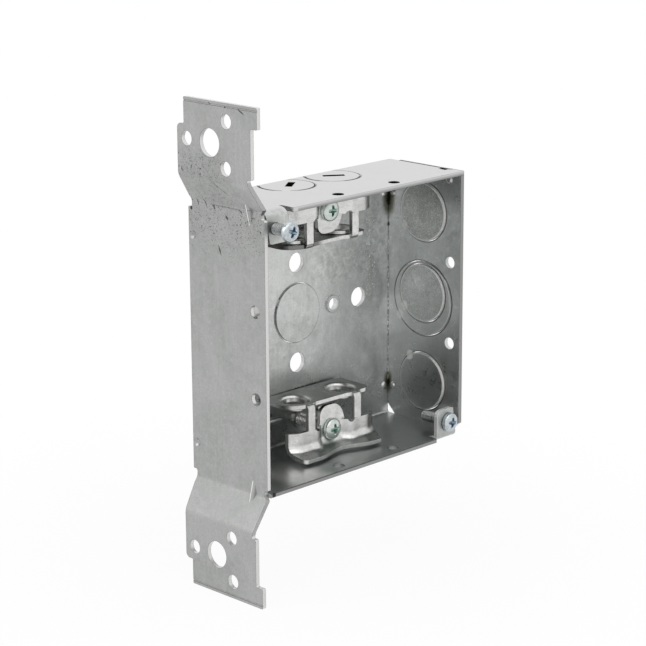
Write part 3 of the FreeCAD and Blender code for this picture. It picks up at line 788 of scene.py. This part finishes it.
def scorched(coat, finish, centre, radii):
    """A weld's scorch: black in the middle, rusty further out, ragged at its edge."""
    across, along = axes_of(coat.place, "XY")
    ragged = cloud(coat.place, 1.6 * MM, 4, 0.6) - 0.5
    inside = fall(across, WALL_X + 0.2 * MM, WALL_X + 0.6 * MM)
    inside = inside * fall(along, BACK_Y + 0.2 * MM, BACK_Y + 0.6 * MM)
    heat = spot(coat.place, centre, radii) * inside
    halo = rise(heat + 0.35 * ragged, 0.05, 0.60)
    core = rise(heat + 0.60 * ragged, 0.58, 0.90)
    coat.lay(halo * 0.7, finish.halo_colour, 0.5)
    coat.lay(core * 0.9, finish.burn_and_shade_colour, 0.6)


def weld_marks(coat, finish):
    """The scorches, and painted shade in the gap up the corner where the right wall is welded on.
    """
    for height, radii in SCORCHES:
        scorched(coat, finish, (WALL_X, BACK_Y, height), radii)
    centre = (WALL_X - 0.25 * MM, BACK_Y, 0.0)
    seam = spot(coat.place, centre, (0.42 * MM, 0.42 * MM, ENDLESS))
    broken = rise(cloud(coat.place, 1.5 * MM, 3, 0.6), 0.42, 0.62)
    # Painted shade: a dark broken line in the gap beside the weld run
    coat.lay(rise(seam, 0.0, 0.6) * (0.15 + 0.35 * broken), finish.shade_line_colour)


def bottom_marks(coat, finish, upward):
    """Painted shade inside the bottom, less of it under a painted reflection towards the front."""
    across, along, height = axes_of(coat.place, "XYZ")
    bottom = upward * fall(height, BOTTOM_Z + SHEET, BOTTOM_Z + 2.5 * SHEET)
    streak = band(across, -28 * MM, 5 * MM, 12 * MM) * rise(-along, 12 * MM, 30 * MM)
    # Painted shade: the inside of the bottom darker
    coat.lay(bottom * (0.80 - 0.80 * streak), finish.bottom_shade_colour, 0.34)
    # Painted reflection: a lighter band towards the front of the bottom
    coat.lay(bottom * streak * 0.48, finish.worn_and_highlight_colour, 0.34, 0.8)


def back_marks(coat, finish):
    """Painted shade low on the back wall, and a ragged worn patch high on its right."""
    across, along, height = axes_of(coat.place, "XYZ")
    back = facing(coat.start, "Y") * rise(along, BACK_Y - 1.5 * MM, BACK_Y - 0.5 * MM)
    # Painted shade: the back wall darker towards its foot
    coat.lay(back * fall(height, -46 * MM, 4 * MM) * 0.45, finish.bottom_shade_colour)
    ragged = rise(cloud(coat.place, 2.6 * MM, 8, 0.8, 0.3), 0.38, 0.66)
    right = rise(across + 8 * MM * cloud(coat.place, 9 * MM), 8 * MM, 14 * MM)
    patch = back * right * rise(height, 2 * MM, 14 * MM)
    coat.lay(patch * ragged * 0.52, finish.worn_and_highlight_colour, 0.42)
    coat.lay(patch * (1 - ragged) * 0.14, finish.stain_and_shade_colour, 0.46)


def cut_marks(coat, finish):
    """Painted shade on the cut faces in the top's holes, dull ones in the bottom's, and the front
    edges.
    """
    across, height = axes_of(coat.place, "XZ")
    hole = turned_from(coat.start, "Z") * fall(abs(across), 33 * MM, 34 * MM)
    low, high = TOP_Z - SHEET - 0.05 * MM, TOP_Z - SHEET + 0.05 * MM
    # Painted shade: near-black cut faces in the top's holes
    coat.lay(rise(height, low, high) * hole, finish.bore_shade_colour, 0.5)
    coat.lay(rise(-height, low, high) * hole, finish.rim_colour, 0.4)
    front = front_edge(coat)
    inner_line = band(height, BOTTOM_Z + SHEET, 0.25 * MM, 0.55 * MM)
    coat.lay(front, finish.rim_colour, 0.45)
    # Painted light: the top's front edge as light as the top
    coat.lay(front * rise(height, TOP_Z - SHEET, TOP_Z), finish.top_lit_colour, 0.45)
    # Painted shade: a dark line on the front edges at the corner with the bottom's inside
    coat.lay(front * inner_line * 0.85, finish.shade_line_colour)


def tab_marks(coat, finish):
    """Painted shade on the upper tab, a lower tab with bright edges, and painted light on a lug
    beside it.
    """
    start, place = coat.start, coat.place
    across, along, height = axes_of(place, "XYZ")
    # Painted shade: a darker patch on the upper tab's face
    upper = spot(place, (-47.5 * MM, FRONT + 1.5 * MM, 45 * MM), mm(8, 6, 8))
    coat.lay(rise(upper, 0.0, 0.6) * 0.6 * facing(start, "Y"), finish.stain_and_shade_colour)
    lower = rise(across, 37.5 * MM, 38 * MM) * fall(along, FRONT + 3 * MM, FRONT + 4 * MM)
    lower = lower * fall(height, -38 * MM, -36 * MM)
    coat.lay(lower * facing(start, "Y") * 0.5, finish.stain_and_shade_colour)
    coat.lay(lower * turned_from(start, "Y") * 0.8, finish.worn_and_highlight_colour, 0.3, 0.4)
    coat.lay(lower * coat.edges * 0.9, finish.worn_and_highlight_colour, 0.3, 0.2)
    coat.edge_shade_share = coat.edge_shade_share * (1 - lower)
    # Painted light: the lug beside the upper tab as light as the top
    lug = band(across, -37.2 * MM, 2.2 * MM, 2.8 * MM) * fall(along, FRONT + 6 * MM, FRONT + 7 * MM)
    coat.lay(lug * rise(height, TOP_Z - 2.4 * MM, TOP_Z - 2.0 * MM) * 0.9, finish.top_lit_colour)


def top_gaps(coat, outside):
    """Painted shade in the gaps round the top's pry-outs and along the right wall, and a black spot
    at its front.
    """
    place = coat.place
    for centre_x in PRYOUT_X:
        apart = stretched(apart_from(place, (centre_x, PRYOUT_Y, 0.0)), WITHOUT_Z)
        near = along_direction(apart, FRONT_LEFT) / PRYOUT_RADIUS
        sheared = rise(near, -0.5, 0.4) * fall(near, 0.965, 0.98)
        line = band(length_of(apart), PRYOUT_RADIUS + 0.35 * MM, 0.35 * MM, 0.65 * MM)
        # Painted shade: a black line in the gap on the front-left side of each pry-out
        coat.darken(line * sheared * outside * 0.75)
    # Painted shade: a black line in the gap where the top meets the right wall
    coat.darken(band(axis_of(place, "X"), RIGHT_X, 0.25 * MM, 0.55 * MM) * outside * 0.8)
    # Painted shade: a black spot near the front end of that gap
    front_spot_shade = spot(place, (RIGHT_X - 0.5 * MM, FRONT + 8 * MM, TOP_Z), mm(2.2, 3.6, 1.5))
    coat.darken(rise(front_spot_shade, 0.05, 0.35) * 0.95)


def shell_marks(coat, finish):
    """Painted light on the outside of the top, shaded rims, painted shade in the holes and a
    crevice, and the weld marks.
    """
    upward = rise(axis_of(face_normal(coat.start), "Z"), 0.7, 0.95)
    outside = upward * rise(axis_of(coat.place, "Z"), TOP_Z - 0.5 * MM, TOP_Z)
    # Painted light: the outside of the top lighter than the walls
    coat.lay(outside * 0.9, finish.top_lit_colour, 0.34)
    bottom_marks(coat, finish, upward)
    back_marks(coat, finish)
    weld_marks(coat, finish)
    cut_marks(coat, finish)
    tab_marks(coat, finish)
    top_gaps(coat, outside)
    # Painted shade: a black spot in the crevice at the front of the bottom's left corner
    centre = (BRACKET_X + SHEET, FRONT, BOTTOM_Z + SHEET / 2)
    corner = spot(coat.place, centre, mm(1.2, 1.2, 1.2))
    coat.lay(rise(corner, 0.1, 0.5) * 0.9, finish.burn_and_shade_colour, 0.6)


def sheared_disc(coat, finish, level, radius, tie, shine=1.0):
    """The bright step round a disc of the right wall, its painted shadow and highlight, and its
    tie's scuff.
    """
    apart = stretched(apart_from(coat.place, (0.0, KNOCKOUT_Y, level)), WITHOUT_X)
    far = length_of(apart)
    front = rise(axis_of(apart, "Y") / -radius, 0.2, 0.6)
    line = band(far, radius + 0.45 * MM, 0.15 * MM, 0.35 * MM)
    step = band(far, radius - 0.20 * MM, 0.22 * MM, 0.44 * MM)
    # Painted shadow: a dark line outside the step, stronger on the front side
    coat.lay(line * (0.55 + 0.3 * front), finish.shade_line_colour)
    # Bright sheared steel with a painted highlight, stronger on the front side
    coat.lay(step * (0.42 + 0.58 * front) * shine, finish.worn_and_highlight_colour, 0.3, 0.0)
    turn = math.radians(tie)
    centre = (WALL_X, KNOCKOUT_Y - radius * math.cos(turn), level + radius * math.sin(turn))
    ragged = cloud(coat.place, 0.8 * MM, 3, 0.6) - 0.5
    scuff = rise(spot(coat.place, centre, mm(2.6, 2.3, 2.5)) + 0.7 * ragged, 0.10, 0.36)
    coat.lay(scuff * 0.85, finish.worn_and_highlight_colour, 0.4, 0.05)


def right_wall_marks(coat, finish):
    """Scratched discs with scuffed ties, dull rims, the weld marks, painted light high up and
    painted shade in a gap.
    """
    place = coat.place
    across, height = axes_of(place, "XZ")
    pale = shade(finish.wall_colour, 1.3)
    # Painted light: the wall lighter towards the top
    coat.lay(fall(height, -30 * MM, 26 * MM) * 0.55, shade(finish.wall_colour, 1.35))
    coat.lay(rise(cloud(place, 9 * MM, 6, 0.7, 0.5), 0.50, 0.64) * 0.35, pale)
    swirl = rise(cloud(place, 1.4 * MM, 6, 0.75, 4.0), 0.46, 0.60)
    for level, tie, stain in KNOCKOUTS:
        radii = (3 * MM, KNOCKOUT_RADIUS, KNOCKOUT_RADIUS)
        disc = rise(spot(place, (WALL_X, KNOCKOUT_Y, level), radii), 0.0, 0.05)
        coat.lay(disc * (1 - swirl) * stain, finish.stain_and_shade_colour)
        coat.lay(disc * swirl * 0.45, pale)
        sheared_disc(coat, finish, level, KNOCKOUT_RADIUS, tie)
    sheared_disc(coat, finish, *OUTER_DISC, shine=0.45)
    weld_marks(coat, finish)
    coat.lay(front_edge(coat), finish.rim_colour, 0.45)
    # Painted shade: a black line in the narrow gap at the wall's top edge
    gap = rise(height, TOP_Z - 1.2 * MM, TOP_Z - 0.9 * MM)
    gap = gap * fall(across, RIGHT_X - 0.85 * MM, RIGHT_X - 0.55 * MM)
    coat.darken(gap * 0.9)


def bracket_specks(coat, finish):
    """Fine pits and dark dots, dense round the upper bend and towards the back."""
    along, height = axes_of(coat.place, "YZ")
    bend = rise(height, 24 * MM, 46 * MM) * fall(height, 66 * MM, 78 * MM)
    clear = rise(FRONT * 0.58 - along, 0.0, 12 * MM) * rise(height, 48 * MM, 56 * MM)
    zone = bend * (1 - clear)
    pits = rise(cloud(coat.place, 0.36 * MM, 2, 0.5) + 0.10 * zone, 0.62, 0.68)
    coat.lay(pits * (0.12 + 0.14 * zone), finish.speck_and_shade_colour)
    flat = coat.start.node("ShaderNodeCombineXYZ", {}, {0: along, 1: height})
    coat.lay(specks(flat, 0.85 * MM, 0.010 + 0.10 * zone) * 0.85, finish.speck_and_shade_colour)
    coat.lay(specks(flat, 0.55 * MM, 0.020 + 0.22 * zone) * 0.6, finish.speck_and_shade_colour)


def bracket_marks(coat, finish):
    """Specks, dark scratches, darts with painted highlight and shade, painted shade in places, and
    brighter cut edges.
    """
    start, place = coat.start, coat.place
    along, height = axes_of(place, "YZ")
    bracket_specks(coat, finish)
    # Painted shade: a darker patch high on the bracket
    upper_patch_shade = spot(place, mm(-56, -11, 56), mm(9, 15, 10))
    coat.lay(rise(upper_patch_shade, 0.0, 1.0) * 0.35, finish.stain_and_shade_colour)
    cut = turned_from(start, "X")
    for centre, slope, length, width in SCRATCHES:
        scratch = dash(place, centre, slope, length, width)
        coat.lay(scratch * (1 - cut) * 0.85, finish.speck_and_shade_colour)
    # Painted shade: a dark line in the crease of the upper fold
    fold = band(height, 50.3 * MM, 0.05 * MM, 0.40 * MM) * band(along, -19 * MM, 5 * MM, 10 * MM)
    coat.lay(fold * (1 - cut) * 0.40, finish.speck_and_shade_colour)
    # Painted highlight on the dart's flank that looks along +Y, painted shade on the flank facing
    # the other way
    dart = band(along, FRONT + 7.0 * MM, 1.3 * MM, 1.6 * MM)
    dart = dart * band(abs(height), 49.3 * MM, 4.6 * MM, 5.2 * MM)
    flank = axis_of(face_normal(start), "Y")
    coat.lay(rise(flank, 0.03, 0.12) * dart, finish.worn_and_highlight_colour, 0.3, 0.6)
    coat.lay(rise(-flank, 0.60, 0.90) * dart * 0.35, finish.shade_line_colour)
    off_joggle = 1 - band(abs(height), 56.0 * MM, 6.0 * MM, 6.8 * MM)
    coat.lay(cut * off_joggle * 0.85 * (1 - dart), finish.edge_colour, 0.42)
    # Painted shade: a black spot in the notch at the bracket's upper front corner
    notch = spot(place, (BRACKET_X, -1.5 * MM, 47.5 * MM), mm(4.0, 0.9, 1.1))
    coat.lay(rise(notch, 0.1, 0.4), finish.shade_line_colour, 0.6)


def clamp_marks(coat, finish):
    """Faint drawing lines, painted shade on faces that look up or down, and a painted shade rim at
    the upper clamp's left.
    """
    start, place = coat.start, coat.place
    drawn = cloud(stretched(place, (0.25, 1.0, 1.0)), 0.6 * MM, 3, 0.6)
    coat.lay(rise(drawn, 0.5, 0.75) * 0.3, finish.stain_and_shade_colour)
    # Painted shade: faces that look up or down darker
    coat.lay(facing(start, "Z") * 0.9, shade(finish.stain_and_shade_colour, 0.62))
    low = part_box("upper_cable_clamp")[0]
    # Painted shade: a dark rim low on the cut faces at the left of the upper clamp
    rim = band(axis_of(place, "Z"), low.z + 0.75 * MM, 0.9 * MM, 1.1 * MM) * turned_from(start, "Z")
    left = fall(axis_of(place, "X"), low.x + 15 * MM, low.x + 19 * MM)
    coat.lay(rim * left * 0.8, finish.shade_line_colour)


class EBOX_OT_finish_walls(bpy.types.Operator):
    """Give the folded shell and the right side wall their galvanised finish"""

    bl_idname = "ebox.finish_walls"
    bl_label = "Finish the walls"

    def execute(self, context):
        finish = context.scene.ebox_sheet
        shell = galvanised("shell_zinc", finish, finish.wall_colour, (1.0, 0.06, 0.06),
                           lambda coat: shell_marks(coat, finish))
        side_colour = [part * share for part, share in zip(finish.wall_colour, (0.88, 0.90, 0.92))]
        wall = galvanised("wall_zinc", finish, side_colour, (1.0, 1.0, 0.06),
                          lambda coat: right_wall_marks(coat, finish))
        dress("box_shell", shell)
        dress("right_side_wall", wall)
        return {"FINISHED"}


class EBOX_OT_finish_bracket(bpy.types.Operator):
    """Give the side wall with its bracket a speckled galvanised finish with bare cut edges"""

    bl_idname = "ebox.finish_bracket"
    bl_label = "Finish the bracket"

    def execute(self, context):
        finish = context.scene.ebox_sheet
        material = galvanised("bracket_zinc", finish, finish.bracket_colour, (1.0, 1.0, 0.05),
                              lambda coat: bracket_marks(coat, finish), 0.85)
        dress("bracket_side_wall", material)
        return {"FINISHED"}


class EBOX_OT_finish_clamps(bpy.types.Operator):
    """Give both cable clamps their light satin zinc"""

    bl_idname = "ebox.finish_clamps"
    bl_label = "Finish the clamps"

    def execute(self, context):
        finish = context.scene.ebox_sheet
        material = galvanised("clamp_zinc", finish, finish.clamp_colour, (1.0, 0.3, 0.3),
                              lambda coat: clamp_marks(coat, finish))
        for node in ("lower_cable_clamp", "upper_cable_clamp"):
            dress(node, material)
        return {"FINISHED"}


def add_bead(mesh, centre, radii):
    """One small drop of weld metal, half sunk in the wall it sits on."""
    shape = Matrix.Translation(centre) @ Matrix.Diagonal((*radii, 1.0))
    bmesh.ops.create_icosphere(mesh, subdivisions=1, radius=1.0, matrix=shape)


def seam_beads(mesh, chance):
    """The lumpy run of weld metal up the corner of the back wall and the right wall."""
    height = RUN_LOW
    while height < RUN_HIGH:
        long = chance.uniform(0.3, 1.2) * MM
        thick = chance.uniform(0.10, 0.22) * MM
        aside = chance.uniform(0.0, 0.25) * MM
        centre = Vector((WALL_X - aside, BACK_Y - 0.05 * MM, height))
        add_bead(mesh, centre, (thick, thick, long))
        height += long * chance.uniform(1.2, 3.6)


def spatter_beads(mesh, chance):
    """Fine drops thrown on the back wall beside the upper weld."""
    for _ in range(SPATTER_COUNT):
        column = chance.choice(SPATTER_COLUMNS) * MM
        across = column + chance.gauss(0.0, 0.8) * MM
        height = chance.uniform(*SPATTER_HEIGHTS) * MM
        size = chance.uniform(0.12, 0.26) * MM
        radii = (size, size * 0.7, size * chance.uniform(1.0, 1.8))
        add_bead(mesh, Vector((across, BACK_Y, height)), radii)


class EBOX_OT_make_weld_beads(bpy.types.Operator):
    """Make the run of weld metal in the box's corner and the spatter beside it"""

    bl_idname = "ebox.make_weld_beads"
    bl_label = "Make the weld beads"

    def execute(self, context):
        finish = context.scene.ebox_sheet
        chance = random.Random(BEAD_SEED)
        mesh = bmesh.new()
        seam_beads(mesh, chance)
        spatter_beads(mesh, chance)
        beads = add_object("weld_beads", smooth_mesh("weld_beads", mesh))
        material, start = new_material("weld_metal")
        coat = Coat(start, finish.worn_and_highlight_colour, 0.3, 0.4)
        coat.lay(rise(cloud(coat.place, 1.0 * MM), 0.45, 0.65) * 0.5, finish.stain_and_shade_colour)
        coat.connect(rounded_normal(start, 0.05 * MM), 0.1)
        beads.data.materials.append(material)
        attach(beads, "box")
        return {"FINISHED"}


def replace_screw(node, shank_radius, sizes, turn, materials):
    """Stand a threaded screw in for the plain one of the model."""
    low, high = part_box(node)
    made = build_screw(node + "_threaded", low, high, shank_radius, sizes, math.radians(turn))
    for material in materials:
        made.data.materials.append(material)
    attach(made, node)
    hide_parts(node)


def screw_materials(name, colour, tint, thread, metallic):
    """The finishes of a screw's head, recess and thread."""
    return (zinc_plate(name + "_plate", colour, tint, 0.24, 0.0),
            zinc_plate(name + "_recess", colour, tint, 0.30, 0.75),
            zinc_plate(name + "_thread", thread, shade(thread, 0.6), 0.22, 0.0, metallic))


class EBOX_OT_make_clamp_screws(bpy.types.Operator):
    """Make the threaded screws that tighten the cable clamps"""

    bl_idname = "ebox.make_clamp_screws"
    bl_label = "Make the clamp screws"

    def execute(self, context):
        sizes = context.scene.ebox_screws
        # Painted light: the clamp screws' threads take the bright thread colour
        materials = screw_materials("clamp_screw", sizes.clamp_colour, sizes.clamp_tint,
                                    sizes.lit_thread_colour, 0.8)
        for node, turn in CLAMP_SCREWS:
            replace_screw(node, CLAMP_SHANK_RADIUS, sizes, turn,
                          materials)
        return {"FINISHED"}


class EBOX_OT_make_cover_screws(bpy.types.Operator):
    """Make the threaded screws that hold a cover"""

    bl_idname = "ebox.make_cover_screws"
    bl_label = "Make the cover screws"

    def execute(self, context):
        sizes = context.scene.ebox_screws
        materials = screw_materials("cover_screw", sizes.cover_colour, sizes.cover_tint,
                                    sizes.thread_colour, 1.0)
        for node, turn in COVER_SCREWS:
            replace_screw(node, COVER_SHANK_RADIUS, sizes, turn,
                          materials)
        return {"FINISHED"}


class EBOX_OT_set_stage(bpy.types.Operator):
    """Set up the floor, the lamps and the camera"""

    bl_idname = "ebox.set_stage"
    bl_label = "Set the stage"

    def execute(self, context):
        stage = context.scene.ebox_stage
        context.scene.view_settings.view_transform = "Standard"
        light_world(stage)
        add_floor(stage)
        add_area_light("key", Vector((-0.35, -0.45, 1.0)), distance=1.2, size=1.7,
                       power=stage.key_power)
        add_area_light("fill", Vector((-1.0, 0.35, 0.6)), distance=1.3, size=0.8,
                       power=stage.fill_power)
        place_camera(stage)
        return {"FINISHED"}


class EBOX_PT_panel(bpy.types.Panel):
    """Buttons for each group of pieces of the electrical box"""

    bl_label = "Electrical box"
    bl_idname = "EBOX_PT_panel"
    bl_space_type = "VIEW_3D"
    bl_region_type = "UI"
    bl_category = "Electrical box"

    def draw(self, context):
        for operator in OPERATORS:
            self.layout.operator(operator.bl_idname)
        for group in GROUPS:
            settings = getattr(context.scene, group)
            box = self.layout.box()
            for name in settings.__annotations__:
                box.prop(settings, name)


GROUPS = {"ebox_sheet": SheetFinish, "ebox_screws": ScrewSizes, "ebox_stage": StageSettings}
OPERATORS = (EBOX_OT_finish_walls, EBOX_OT_finish_bracket, EBOX_OT_finish_clamps,
             EBOX_OT_make_weld_beads, EBOX_OT_make_clamp_screws, EBOX_OT_make_cover_screws,
             EBOX_OT_set_stage)
CLASSES = tuple(GROUPS.values()) + OPERATORS + (EBOX_PT_panel,)


def register():
    for made in CLASSES:
        bpy.utils.register_class(made)
    for name, group in GROUPS.items():
        setattr(bpy.types.Scene, name, PointerProperty(type=group))


def unregister():
    for name in GROUPS:
        delattr(bpy.types.Scene, name)
    for made in reversed(CLASSES):
        bpy.utils.unregister_class(made)


def main():
    register()
    bpy.ops.ebox.finish_walls()
    bpy.ops.ebox.finish_bracket()
    bpy.ops.ebox.finish_clamps()
    bpy.ops.ebox.make_weld_beads()
    bpy.ops.ebox.make_clamp_screws()
    bpy.ops.ebox.make_cover_screws()
    bpy.ops.ebox.set_stage()


if __name__ == "__main__":
    main()
